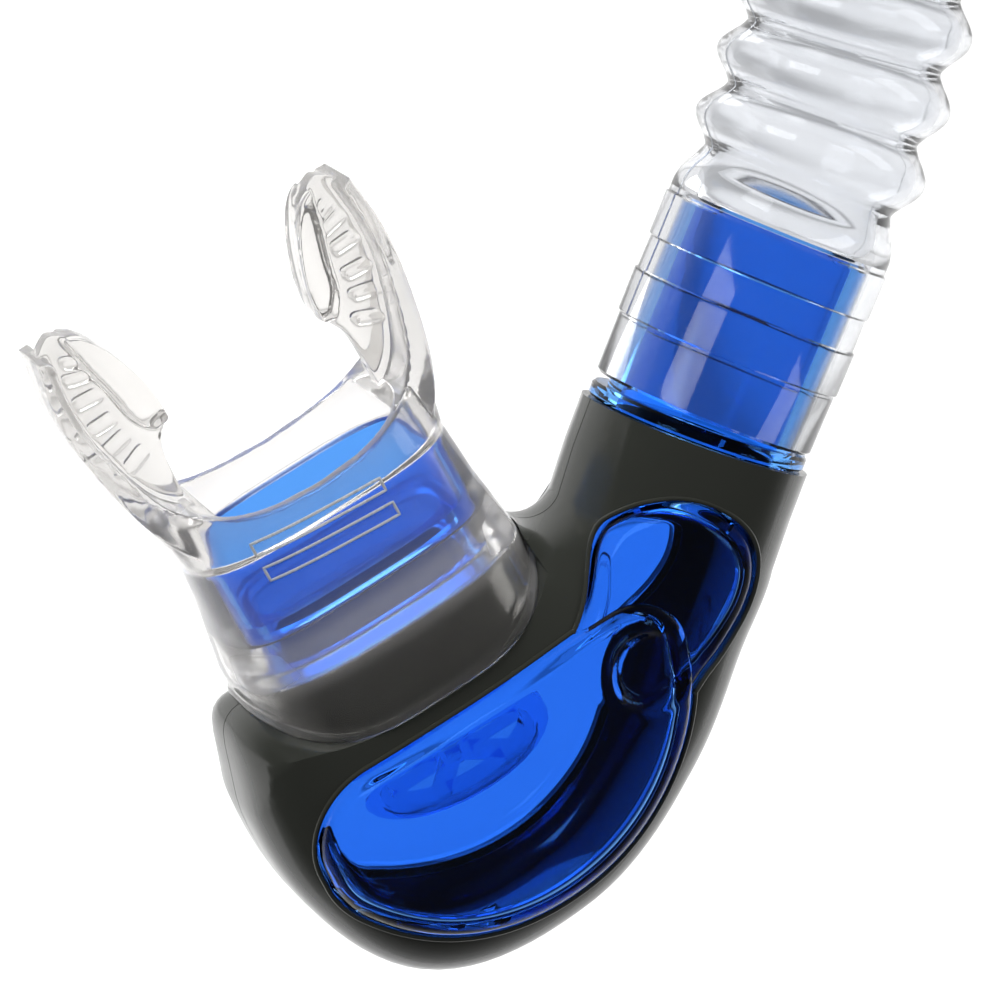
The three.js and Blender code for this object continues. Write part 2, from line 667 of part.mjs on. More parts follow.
function valveHousing() {
  const { sleeveFoot, deck, deckThick, mouthTop } = TOP;
  const deckTop = deck + deckThick;
  const earZ = ROCKER.z + 2.6;
  const ears = [-1, 1].map((side) => {
    const [y0, y1] = [side * 5.5, side * 8].sort((a, b) => a - b);
    return box(ROCKER.x - 2.2, ROCKER.x + 2.2, y0, y1, deck + 1, earZ);
  });
  const blank = join(
    cylinder(BARREL.radius + 2.4, sleeveFoot, deckTop),
    topPrism(0, deck, deckTop),
    cylinder(BARREL.radius, deckTop - 1, mouthTop),
    ...ears,
  );
  return cut(
    blank,
    cylinder(sleeveBore, sleeveFoot - 1, BARREL.top + GAP),
    cylinder(BARREL.bore, sleeveFoot, mouthTop + 1),
    cylinder(ROCKER_PIN.radius + GAP, -20, 20, alongY(ROCKER.x, ROCKER.z), 14),
  );
}

function topCap() {
  const foot = TOP.deck + TOP.deckThick + GAP;
  const { top, wall } = CAP;
  const outer = topPrism(0, foot, top, 5).intersect(box(-60, 80, -60, 60, foot, top + 1));
  const inner = topPrism(wall, foot - 6, top - wall, 4);
  const slots = [];
  const rows = 7;
  for (let i = 0; i < rows; i++) {
    const x = -9 + i * 6.4;
    slots.push(box(x - 1.5, x + 1.5, -40, 40, foot + 6, top - 12));
  }
  const spare = box(-40, 60, -8.5, 8.5, foot + 8, top - 14);
  return cut(outer, inner, ...slots, spare);
}

// The rocker is drawn shut (level) and then turned open.
const rockerOpen = frameMatrix(new THREE.Vector3(ROCKER.x, 0, ROCKER.z), ROCKER.open).multiply(
  new THREE.Matrix4().makeTranslation(-ROCKER.x, 0, -ROCKER.z),
);

function floatArm() {
  const { x, z, plate, disc, hub, hubHalf } = ROCKER;
  const foot = z - plate / 2;
  const arm = join(
    cylinder(disc, foot, foot + plate, null, 28),
    box(0, x, -4, 4, foot, foot + plate),
    box(x - 1, FLOAT.right - 1, -4.6, 4.6, foot, foot + plate),
    cylinder(hub, -hubHalf, hubHalf, alongY(x, z), 16),
  );
  const bored = cut(arm, cylinder(ROCKER_PIN.radius + GAP, -20, 20, alongY(x, z), 14));
  return solid(geometryOf(bored), rockerOpen);
}

function rockerPin() {
  return cylinder(ROCKER_PIN.radius, -ROCKER_PIN.half, ROCKER_PIN.half, alongY(ROCKER.x, ROCKER.z), 14);
}

function sealDisc() {
  const top = ROCKER.z - ROCKER.plate / 2 - GAP;
  return cylinder(13.4, top - 1.5, top, rockerOpen, 28);
}

function floatBlock() {
  const top = ROCKER.z - ROCKER.plate / 2 - GAP;
  const { left, right, foot, half } = FLOAT;
  const shape = new THREE.Shape();
  const r = 3;
  shape.absarc(right - r, half - r, r, 0, Math.PI / 2, false);
  shape.absarc(left + r, half - r, r, Math.PI / 2, Math.PI, false);
  shape.absarc(left + r, -half + r, r, Math.PI, 1.5 * Math.PI, false);
  shape.absarc(right - r, -half + r, r, 1.5 * Math.PI, 2 * Math.PI, false);
  const geometry = new THREE.ExtrudeGeometry(shape, { depth: top - foot, bevelEnabled: false, curveSegments: 5 });
  geometry.translate(0, 0, foot);
  return solid(geometry, rockerOpen);
}

// ---------------------------------------------------------------- assembly
const snorkel = new THREE.Group();
const barrelFrame = new THREE.Group();
const chamberFrame = new THREE.Group();
snorkel.add(barrelFrame);
barrelFrame.add(chamberFrame);
barrelFrame.position.x = BARREL.axisX;

// The chamber frame hangs where its hose meets the barrel's axis at CUFF_TOP.
const hoseEnd = centreline(HOSE.end).applyAxisAngle(new THREE.Vector3(0, 1, 0), CHAMBER_TILT);
chamberFrame.position.set(-hoseEnd.x, 0, CUFF_TOP - hoseEnd.z);
chamberFrame.rotation.y = CHAMBER_TILT;

function add(frame, name, shape, look) {
  const mesh = new THREE.Mesh(geometryOf(shape), look);
  mesh.name = name;
  frame.add(mesh);
}

const halves = covers();
const shells = chamber();
add(chamberFrame, "mouthpiece", mouthpiece(), CLEAR);
add(chamberFrame, "chamber_front", shells.front, BLUE);
add(chamberFrame, "chamber_rear", shells.rear, BLUE);
add(chamberFrame, "hose_spigot", shells.spigot, BLUE);
add(chamberFrame, "mouth_duct", shells.duct, BLUE);
add(chamberFrame, "front_cover", halves.front, CHARCOAL);
add(chamberFrame, "rear_cover", halves.rear, CHARCOAL);
add(chamberFrame, "purge_valve_seat", purgeSeat(), BLUE);
add(chamberFrame, "purge_diaphragm", purgeDiaphragm(), CLEAR);
add(chamberFrame, "flex_hose", hose(), CLEAR);

add(barrelFrame, "barrel_tube", barrelTube(), CHARCOAL);
add(barrelFrame, "hose_stop_ring", ring(sleeveBore, STOP_RING.radius, STOP_RING.foot, STOP_RING.top), BLUE);
add(barrelFrame, "signal_band", ring(sleeveBore, BAND.radius + GAP, BAND.foot, BAND.top), YELLOW);
add(barrelFrame, "keeper_liner", ring(sleeveBore, LINER.radius, -LINER.half, LINER.half), CLEAR);
add(barrelFrame, "keeper_collar", keeperCollar(), CHARCOAL);
add(barrelFrame, "keeper_clip", keeperClip(), CHARCOAL);
add(barrelFrame, "keeper_pin", keeperPin(), STEEL);
add(barrelFrame, "valve_housing", valveHousing(), BLUE);
add(barrelFrame, "seat_gasket", ring(12.4, BARREL.radius, TOP.mouthTop + GAP, 74.9), CLEAR);
add(barrelFrame, "rocker_pin", rockerPin(), STEEL);
add(barrelFrame, "float_arm", floatArm(), CHARCOAL);
add(barrelFrame, "seal_disc", sealDisc(), CLEAR);
add(barrelFrame, "float", floatBlock(), WHITE);
add(barrelFrame, "top_cap", topCap(), CHARCOAL);

export default snorkel;
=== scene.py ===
"""The looks of the snorkel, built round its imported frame.

Shapes are made in millimetres in three local frames and placed in metres:
barrel frame  - Z is the barrel's axis, height 0 is the keeper's middle
chamber frame - Z is the neck's axis, origin where the dark covers end below the hose
mouth frame   - Z points out of the mouthpiece, X runs across the mouth
"""

import math

import bmesh
import bpy
import numpy as np
from mathutils import Matrix, Vector


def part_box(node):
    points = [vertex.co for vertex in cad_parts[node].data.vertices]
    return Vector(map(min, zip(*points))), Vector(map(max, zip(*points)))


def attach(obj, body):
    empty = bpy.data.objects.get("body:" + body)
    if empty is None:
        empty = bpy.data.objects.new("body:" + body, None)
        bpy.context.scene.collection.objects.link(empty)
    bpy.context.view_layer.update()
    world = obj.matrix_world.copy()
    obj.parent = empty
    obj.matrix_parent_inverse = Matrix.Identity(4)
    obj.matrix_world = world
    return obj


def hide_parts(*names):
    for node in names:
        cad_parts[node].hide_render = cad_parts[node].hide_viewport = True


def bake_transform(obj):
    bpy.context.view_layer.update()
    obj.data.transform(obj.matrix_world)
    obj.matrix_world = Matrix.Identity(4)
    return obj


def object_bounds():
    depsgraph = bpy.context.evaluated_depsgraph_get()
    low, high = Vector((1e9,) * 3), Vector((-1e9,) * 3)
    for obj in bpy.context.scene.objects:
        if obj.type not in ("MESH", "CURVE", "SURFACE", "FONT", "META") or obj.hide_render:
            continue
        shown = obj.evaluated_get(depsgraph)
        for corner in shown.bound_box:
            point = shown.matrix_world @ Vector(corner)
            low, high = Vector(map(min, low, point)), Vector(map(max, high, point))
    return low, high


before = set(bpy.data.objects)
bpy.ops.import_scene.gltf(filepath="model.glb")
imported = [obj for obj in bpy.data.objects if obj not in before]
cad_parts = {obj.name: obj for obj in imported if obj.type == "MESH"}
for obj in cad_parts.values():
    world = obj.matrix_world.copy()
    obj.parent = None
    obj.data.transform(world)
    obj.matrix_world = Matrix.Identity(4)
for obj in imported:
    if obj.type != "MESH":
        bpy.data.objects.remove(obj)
cad_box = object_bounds()

# ---------------------------------------------------------------- driving dimensions, as in the frame
GAP = 0.3
AROUND = 128
CHAMBER_TILT = math.radians(21.5)
MOUTH_ANGLE = math.radians(49)
MOUTH_CENTRE = (-38.4, -44.2)
NECK_RADIUS = 18.7
COVER_TOP = -1.3
COVER_WALL = 2.0
BODY_WALL = 2.0
COVER_RIM = 5.0
SEAM = 0.11  # half of the gap between the two covers
RIM = {"width": 22.8, "depth": 17.3, "wall": 1.8, "foot": -9.0}
NOTCH = (-24.5, -17.0)
# angle below the horizontal, inner and outer reach from the notch, half depth, squareness
BEND = np.array([
    (0, 6.3, 43.2, 18.4, 2.1),
    (20, 6.1, 45.6, 18.4, 2.2),
    (40, 5.8, 54.6, 18.5, 2.4),
    (62, 5.5, 68.8, 18.8, 2.7),
    (83, 5.3, 77.6, 19.0, 3.0),
    (100, 5.2, 72.4, 19.0, 3.2),
    (115, 5.2, 65.0, 18.8, 3.4),
    (131, 5.2, 57.6, 18.4, 3.6),
])
CHEEK = {"x": 3.0, "z": -14.0, "radius": 35.2, "top": -11.0, "left": -28.4, "foot": 13.0, "corner": 8.0}
CHEEK_PROUD = 1.5
PANEL = [
    (6.2, -39), (7.6, -34.5), (9.2, -31), (10.5, -27.2), (11.3, -22.8), (10.9, -18.5), (9.4, -15.2),
    (6.6, -12.4), (2.6, -10.5), (-2.4, -9.7), (-6.7, -10.4), (-10.2, -12.4), (-12.6, -14.8), (-14.4, -17.8),
    (-15.1, -21.4), (-15, -25.2), (-14.7, -28.9), (-14.8, -32), (-15.2, -35), (-15.2, -39),
]
DIMPLE = {"x": 29.9, "z": -22.0, "radius": 7.0, "depth": 1.7}
SPIGOT = {"radius": 15.4, "bore": 13.0, "top": 32.5, "lean": math.radians(2)}
COLLAR = {"radius": 17.8, "top": 1.3}
DUCT = {"neck": (18.5, 10.5), "head": (20.8, 13.0), "head_foot": 11.7, "top": 25.0, "bore": (16.4, 8.4)}
SKIRT = {"width": 24.7, "depth": 19.3, "foot": -7.0, "ends": 3.4}
HOSE = {
    "foot": 2.2, "bend_from": 38.0, "bend_length": 90.0, "end": 156.0, "cuff": 18.0, "cuff_bore": 15.7,
    "top": 17.0, "top_bore": 14.3, "crest": 18.8, "valley": 15.5, "wall": 1.7,
    "first_crest": 46.4, "pitch": 10.9, "crests": 8,
}
BARREL = {"radius": 14.0, "bore": 12.2, "foot": -110.0, "top": 56.0}
CUFF_TOP = -87.0
CHEEK_MIDDLE = (4.0, -27.0)  # in the mouth frame
PANEL_MIDDLE = (-2.5, -27)  # in the chamber frame
BAR_HEIGHTS = (26.3, 22.0)  # of the two raised bars on the mouthpiece, in the mouth frame


# ---------------------------------------------------------------- frames
def turned(x, z, angle):
    return Matrix.Translation((x, 0, z)) @ Matrix.Rotation(angle, 4, "Y")


def centreline(s):
    """The hose's centreline and lean at a length along it, in the chamber frame."""
    straight = min(s, HOSE["bend_from"])
    lean = SPIGOT["lean"]
    x, z = straight * math.sin(lean), straight * math.cos(lean)
    steps = 60
    bent = min(max(s - HOSE["bend_from"], 0), HOSE["bend_length"])
    for i in range(steps):
        angle = lean_at(HOSE["bend_from"] + bent * (i + 0.5) / steps)
        x += math.sin(angle) * bent / steps
        z += math.cos(angle) * bent / steps
    rest = max(0, s - HOSE["bend_from"] - HOSE["bend_length"])
    angle = lean_at(s)
    return x + math.sin(angle) * rest, z + math.cos(angle) * rest, angle


def lean_at(s):
    share = min(max((s - HOSE["bend_from"]) / HOSE["bend_length"], 0), 1)
    return SPIGOT["lean"] - (CHAMBER_TILT + SPIGOT["lean"]) * share


low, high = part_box("barrel_tube")
barrel_frame = Matrix.Translation(((low.x + high.x) / 2, 0, 0)) @ Matrix.Scale(0.001, 4)
end_x, end_z, _ = centreline(HOSE["end"])
end_offset = Matrix.Rotation(CHAMBER_TILT, 4, "Y") @ Vector((end_x, 0, end_z))
chamber_frame = barrel_frame @ turned(-end_offset.x, CUFF_TOP - end_offset.z, CHAMBER_TILT)
mouth_frame = chamber_frame @ turned(MOUTH_CENTRE[0], MOUTH_CENTRE[1], -MOUTH_ANGLE)
spigot_frame = chamber_frame @ turned(0, 0, SPIGOT["lean"])
upright = Matrix.Scale(0.001, 4)


def mouth_to_chamber(points):
    """XZ points of the mouth frame in the chamber frame."""
    x, z = points[:, 0], points[:, 1]
    c, s = math.cos(MOUTH_ANGLE), math.sin(MOUTH_ANGLE)
    return np.stack([MOUTH_CENTRE[0] + x * c - z * s, MOUTH_CENTRE[1] + x * s + z * c], 1)


# ---------------------------------------------------------------- mesh helpers
def new_object(name, vertices, faces, place):
    mesh = bpy.data.meshes.new(name)
    mesh.from_pydata([tuple(v) for v in vertices], [], faces)
    mesh.transform(place)
    work = bmesh.new()
    work.from_mesh(mesh)
    bmesh.ops.remove_doubles(work, verts=work.verts, dist=1e-7)
    bmesh.ops.recalc_face_normals(work, faces=work.faces)
    if work.calc_volume(signed=True) < 0:
        bmesh.ops.reverse_faces(work, faces=work.faces)
    work.to_mesh(mesh)
    work.free()
    made = bpy.data.objects.new(name, mesh)
    bpy.context.scene.collection.objects.link(made)
    return made


def skin(name, rings, place, closed=False):
    """A surface through equal rings of points. Open ends are capped."""
    rings = np.asarray(rings, float)
    rows, count = rings.shape[:2]
    vertices = list(rings.reshape(-1, 3))
    faces = []
    for i in range(rows if closed else rows - 1):
        a, b = i * count, ((i + 1) % rows) * count
        for j in range(count):
            k = (j + 1) % count
            faces.append((a + j, a + k, b + k, b + j))
    for row in () if closed else (0, rows - 1):
        vertices.append(rings[row].mean(0))
        for j in range(count):
            faces.append((len(vertices) - 1, row * count + j, row * count + (j + 1) % count))
    return new_object(name, vertices, faces, place)


def lathe(name, profile, place, closed=False, around=AROUND):
    """A round piece about Z from its half section."""
    angle = np.linspace(0, 2 * math.pi, around, endpoint=False)
    rings = [np.stack([r * np.cos(angle), r * np.sin(angle), np.full(around, z)], 1) for r, z in profile]
    return skin(name, rings, place, closed)


def oval(centre, across, width, depth, power, count=AROUND):
    """A superellipse ring, its width along across and its depth along Y."""
    angle = np.linspace(0, 2 * math.pi, count, endpoint=False)
    c, s = np.cos(angle), np.sin(angle)
    reach = ((abs(c) / width) ** power + (abs(s) / depth) ** power) ** (-1 / power)
    ring = np.asarray(centre, float) + np.outer(reach * c, across)
    ring[:, 1] += reach * s
    return ring


def duct(name, size, z0, z1, power, place):
    rings = [oval((0, 0, z), (1, 0, 0), size[0], size[1], power) for z in (z0, z1)]
    return skin(name, rings, place)


def slab(name, outline, y0, y1, place):
    """A prism along Y of an XZ outline."""
    rings = [[(x, y, z) for x, z in outline] for y in (y0, y1)]
    count = len(outline)
    vertices = [p for ring in rings for p in ring]
    faces = [tuple(range(count)), tuple(range(count, 2 * count))]
    faces += [(j, (j + 1) % count, count + (j + 1) % count, count + j) for j in range(count)]
    return new_object(name, vertices, faces, place)


def block(name, x, y, z, place):
    return slab(name, [(x[0], z[0]), (x[1], z[0]), (x[1], z[1]), (x[0], z[1])], y[0], y[1], place)


def settle(piece):
    """Applies the modifiers of a piece."""
    bpy.context.view_layer.update()
    graph = bpy.context.evaluated_depsgraph_get()
    mesh = bpy.data.meshes.new_from_object(piece.evaluated_get(graph))
    piece.modifiers.clear()
    piece.data = mesh
    return piece


def combine(piece, operation, tools):
    for tool in tools:
        modifier = piece.modifiers.new("combine", "BOOLEAN")
        modifier.operation = operation
        modifier.solver = "MANIFOLD"
        modifier.object = tool
        settle(piece)
        bpy.data.objects.remove(tool)
    return piece


def join(piece, *tools):
    return combine(piece, "UNION", tools)


def cut(piece, *tools):
    return combine(piece, "DIFFERENCE", tools)


def keep(piece, *tools):
    return combine(piece, "INTERSECT", tools)


def copy_of(piece, name):
    made = piece.copy()
    made.data = piece.data.copy()
    made.name = name
    bpy.context.scene.collection.objects.link(made)
    return made


def smooth(piece, angle=32):
    piece.data.shade_smooth()
    piece.data.set_sharp_from_angle(angle=math.radians(angle))
    return piece


def soften(piece, voxel, passes):
    """Rounds every edge of a piece: one even mesh over it, then smoothed."""
    remesh = piece.modifiers.new("even", "REMESH")
    remesh.mode = "VOXEL"
    remesh.voxel_size = voxel * 0.001
    relax = piece.modifiers.new("relax", "SMOOTH")
    relax.factor = 0.5
    relax.iterations = passes
    settle(piece)
    piece.data.shade_smooth()
    return piece


def even_outline(points, count):
    """The closed outline resampled to evenly spaced points."""
    loop = np.vstack([points, points[:1]])
    along = np.concatenate([[0], np.cumsum(np.linalg.norm(np.diff(loop, axis=0), axis=1))])
    where = np.linspace(0, along[-1], count, endpoint=False)
    return np.stack([np.interp(where, along, loop[:, k]) for k in (0, 1)], 1)


def curve_through(points, per_span=10):
    """A smooth open line through the points."""
    p = np.asarray(points, float)
    p = np.vstack([2 * p[0] - p[1], p, 2 * p[-1] - p[-2]])
    line = []
    for i in range(1, len(p) - 2):
        for t in np.linspace(0, 1, per_span, endpoint=False):
            line.append(0.5 * (2 * p[i] + (p[i + 1] - p[i - 1]) * t
                               + (2 * p[i - 1] - 5 * p[i] + 4 * p[i + 1] - p[i + 2]) * t**2
                               + (3 * p[i] - p[i - 1] - 3 * p[i + 1] + p[i + 2]) * t**3))
    line.append(p[-2])
    return np.array(line)


def bead(name, path, radius, place, closed=True, sides=10, up=(0, 1, 0)):
    """A round bead along a path of points that never runs along up."""
    path = np.asarray(path, float)
    count = len(path)
    ahead = np.roll(path, -1, 0) - np.roll(path, 1, 0)
    if not closed:
        ahead[0], ahead[-1] = path[1] - path[0], path[-1] - path[-2]
    ahead /= np.linalg.norm(ahead, axis=1)[:, None]
    side = np.cross(ahead, up)
    side /= np.linalg.norm(side, axis=1)[:, None]
    other = np.cross(ahead, side)
    turn = np.linspace(0, 2 * math.pi, sides, endpoint=False)
    rings = [path[i] + radius * (np.outer(np.cos(turn), side[i]) + np.outer(np.sin(turn), other[i]))
             for i in range(count)]
    return skin(name, rings, place, closed)


# ---------------------------------------------------------------- the J-shaped body
def bend_column(column, angle):
    """A column of BEND at any angle, on a smooth curve through its rows."""
    xs, ys = BEND[:, 0], BEND[:, column]
    slope = np.gradient(ys, xs)
    angle = np.clip(angle, xs[0], xs[-1])
    i = np.clip(np.searchsorted(xs, angle) - 1, 0, len(xs) - 2)
    h = xs[i + 1] - xs[i]
    t = (angle - xs[i]) / h
    return ((2 * t**3 - 3 * t**2 + 1) * ys[i] + (t**3 - 2 * t**2 + t) * h * slope[i]
            + (3 * t**2 - 2 * t**3) * ys[i + 1] + (t**3 - t**2) * h * slope[i + 1])


def j_body(name, inset, top=COVER_TOP):
    rings = []
    for z in np.linspace(top, -9, 5):
        rings.append(oval((0, 0, z), (1, 0, 0), NECK_RADIUS - inset, NECK_RADIUS - inset, 2))
    for angle in np.linspace(0, BEND[-1, 0], 72):
        inner, outer, depth, power = (float(bend_column(k, angle)) for k in (1, 2, 3, 4))
        turn = -math.radians(angle)
        out = np.array([math.cos(turn), 0, math.sin(turn)])
        centre = np.array([NOTCH[0], 0, NOTCH[1]]) + out * (inner + outer) / 2
        rings.append(oval(centre, out, (outer - inner) / 2 - inset, depth - inset, power))
    return skin(name, rings, chamber_frame)


def half_depth(points):
    """The covers' outer half depth over XZ points of the chamber frame."""
    dx, dz = points[:, 0] - NOTCH[0], points[:, 1] - NOTCH[1]
    angle = np.degrees(np.arctan2(-dz, dx))
    reach = np.where(angle < 0, dx, np.hypot(dx, dz))
    inner, outer, depth, power = (bend_column(k, angle) for k in (1, 2, 3, 4))
    t = np.clip(abs(reach - (inner + outer) / 2) / ((outer - inner) / 2), 0, 0.999)
    return depth * (1 - t**power) ** (1 / power)


def arc(x, z, radius, start, end, steps=24):
    angle = np.linspace(start, end, steps)
    return np.stack([x + radius * np.cos(angle), z + radius * np.sin(angle)], 1)


def cheek_outline(grow, count=240):
    """The D-shaped cheek window, in the chamber frame."""
    c = CHEEK
    right_x = c["x"] + math.sqrt((c["radius"] - c["corner"]) ** 2 - (c["top"] - c["corner"] - c["z"]) ** 2)
    right_angle = math.atan2(c["top"] - c["corner"] - c["z"], right_x - c["x"])
    foot_x = c["left"] + c["foot"]
    foot_z = c["z"] - math.sqrt((c["radius"] - c["foot"]) ** 2 - (foot_x - c["x"]) ** 2)
    foot_angle = math.atan2(foot_z - c["z"], foot_x - c["x"])
    outline = np.vstack([
        arc(foot_x, c["top"] - c["foot"], c["foot"] + grow, math.pi, math.pi / 2),
        arc(right_x, c["top"] - c["corner"], c["corner"] + grow, math.pi / 2, right_angle),
        arc(c["x"], c["z"], c["radius"] + grow, right_angle, foot_angle, 80),
        arc(foot_x, foot_z, c["foot"] + grow, foot_angle, -math.pi),
    ])
    return mouth_to_chamber(even_outline(outline, count))


def panel_outline(grow, count=160):
    """The neck window's outline, in the chamber frame."""
    line = even_outline(curve_through(PANEL), count)
    along = np.roll(line, -1, 0) - np.roll(line, 1, 0)
    along /= np.linalg.norm(along, axis=1)[:, None]
    return line + grow * np.stack([along[:, 1], -along[:, 0]], 1)


def dimple_at(points):
    """How deep the ringed dimple is over XZ points of the chamber frame."""
    centre = mouth_to_chamber(np.array([(DIMPLE["x"], DIMPLE["z"])]))[0]
    q = np.linalg.norm(points - centre, axis=1)
    dish = np.clip((DIMPLE["radius"] - q) / 2.8, 0, 1)
    ring = np.exp(-((q - DIMPLE["radius"] - 0.4) / 0.9) ** 2)
    return DIMPLE["depth"] * dish**2 * (3 - 2 * dish) - 0.22 * ring


def lens(name, outline, centre, side, proud, foot, rounding, rows, dimpled=False):
    """A window that follows the covers' surface: a plug with a rounded edge, standing proud."""
    centre = np.asarray(centre, float)
    reach = np.linalg.norm(outline - centre, axis=1)
    rings = [np.stack([outline[:, 0], np.full(len(outline), side * foot), outline[:, 1]], 1)]
    edge = np.linspace(0, 1, 8, endpoint=False) ** 1.5 * (1.3 * rounding / reach.min())
    for inward in np.concatenate([edge, np.linspace(1.3 * rounding / reach.min(), 0.985, rows)]):
        plan = centre + (outline - centre) * (1 - inward)
        e = np.clip(inward * reach, 0, rounding)
        drop = rounding - np.sqrt(rounding**2 - (rounding - e) ** 2)
        height = half_depth(plan) + proud - drop
        if dimpled:
            height = height - dimple_at(plan)
        rings.append(np.stack([plan[:, 0], side * height, plan[:, 1]], 1))
    return skin(name, rings, chamber_frame)


def prism(name, outline):
    return slab(name, outline, -40, 40, chamber_frame)


def foot_height(x, width):
    """The height of the mouthpiece skirt's foot across the mouth: lowest at the cheeks."""
    share = np.clip(abs(x) / width, 0, 1.1)
    return SKIRT["foot"] + (SKIRT["ends"] - SKIRT["foot"]) * share**4


def skirt_shell(name, grow, lowered, top_rows, place):
    """The skirt's outer shape: its foot follows foot_height, then the given (z, width, depth, power)."""
    rings = []
    first = oval((0, 0, 0), (1, 0, 0), SKIRT["width"] + grow, SKIRT["depth"] + grow, 3)
    first[:, 2] = foot_height(first[:, 0], SKIRT["width"] + 1) - lowered
    rings.append(first)
    for z, width, depth, power in top_rows:
        rings.append(oval((0, 0, z), (1, 0, 0), width, depth, power))
    return skin(name, rings, place)


def vent_slots():
    slots = []
    for i in range(6):
        place = chamber_frame @ turned(NOTCH[0], NOTCH[1], math.radians(72 + 5 * i))
        slots.append(block("slot", (58, 90), (-4, 4), (-1.1, 1.1), place))
    return slots


# ---------------------------------------------------------------- covers
def above_ledge():
    """The space over the covers' ledge: it follows the skirt's foot all round and falls away outward."""
    foot = oval((0, 0, 0), (1, 0, 0), SKIRT["width"], SKIRT["depth"], 3)
    height = foot_height(foot[:, 0], SKIRT["width"] + 1) - GAP
    rings = []
    for out, drop in ((-12, 0), (0, 0), (1, 0.05), (2, 0.25), (3, 0.7), (4, 1.5), (4.8, 2.7), (5.6, 4.8),
                      (6.6, 8.3), (8, 13), (9.2, 19), (10.5, 28)):
        ring = oval((0, 0, 0), (1, 0, 0), SKIRT["width"] + out, SKIRT["depth"] + out, 3)
        ring[:, 2] = height - drop
        rings.append(ring)
    rings.append(oval((0, 0, 40), (1, 0, 0), SKIRT["width"] + 10.5, SKIRT["depth"] + 10.5, 3))
    beyond = block("beyond", (SKIRT["width"] - 0.7, 60), (-60, 60), (-60, 60), mouth_frame)
    return cut(skin("above_ledge", rings, mouth_frame), beyond)


def make_covers(shell_look):
    blank = j_body("cover", 0)
    rows = [(20, SKIRT["width"] + GAP, SKIRT["depth"] + GAP, 3)]
    cut(blank, skirt_shell("room", GAP, GAP, rows, mouth_frame), above_ledge())
    join(blank, duct("rim", (RIM["width"], RIM["depth"]), RIM["foot"] - 7, COVER_RIM, 3, mouth_frame))
    hollow = keep(j_body("bore", COVER_WALL, COVER_TOP + 1),
                  block("below", (-80, 120), (-60, 60), (RIM["foot"] - 120, RIM["foot"]), mouth_frame))
    bore = (RIM["width"] - RIM["wall"], RIM["depth"] - RIM["wall"])
    cut(
        blank, hollow,
        lathe("neck_bore", [(NECK_RADIUS - COVER_WALL, -12), (NECK_RADIUS - COVER_WALL, 5)], chamber_frame),
        duct("rim_bore", bore, RIM["foot"] - 4, COVER_RIM + 1, 3, mouth_frame),
        block("above", (-80, SKIRT["width"] + 3), (-60, 60), (COVER_RIM, COVER_RIM + 90), mouth_frame),
        prism("cheek_hole", cheek_outline(GAP)),
        prism("panel_hole", panel_outline(GAP)),
        *vent_slots(),
    )
    for name, y in (("front_cover", (-60, -SEAM)), ("rear_cover", (SEAM, 60))):
        half = copy_of(blank, name + "_shell")
        keep(half, block("half", (-90, 60), y, (-120, 20), chamber_frame))
        finish_piece(half, name, "chamber", shell_look)
        window_lips(name, -1 if y[0] < -1 else 1, shell_look)
    bpy.data.objects.remove(blank)


def window_lips(cover, side, look):
    """The thin moulded lip round each cover's window opening."""
    cheek = cheek_outline(0.6)
    panel = panel_outline(0.6)
    cheek = cheek[~inside(cheek, panel_outline(0.2))]
    panel = panel[~inside(panel, cheek_outline(0.2))]
    for name, line in (("cheek", cheek), ("panel", panel)):
        gap = np.argmax(np.linalg.norm(np.roll(line, -1, 0) - line, axis=1))
        line = np.roll(line, -gap - 1, 0)
        path = np.stack([line[:, 0], side * (half_depth(line) - 0.02), line[:, 1]], 1)
        lip = smooth(bead("lip", path, 0.42, chamber_frame, closed=False), 60)
        finish_piece(lip, None, "chamber", look, f"{cover}_{name}_lip")


def inside(points, outline):
    """Which points are inside a closed outline."""
    hit = np.zeros(len(points), bool)
    for (x0, z0), (x1, z1) in zip(outline, np.roll(outline, -1, 0)):
        crosses = (z0 > points[:, 1]) != (z1 > points[:, 1])
        with np.errstate(divide="ignore", invalid="ignore"):
            at = x0 + (points[:, 1] - z0) / (z1 - z0) * (x1 - x0)
        hit ^= crosses & (points[:, 0] < at)
    return hit


# ---------------------------------------------------------------- chamber body
def lenses(name, grow, proud, foot, fine):
    cheek_middle = mouth_to_chamber(np.array([CHEEK_MIDDLE]))[0]
    count, rows = (300, 70) if fine else (200, 40)
    made = []
    for side in (-1, 1):
        made.append(lens(name, cheek_outline(grow, count), cheek_middle, side, proud, foot, 2.2, rows, True))
        made.append(lens(name, panel_outline(grow, 120), PANEL_MIDDLE, side, proud - 1.2, -0.5, 1.8,
                         rows // 2, True))
    return made


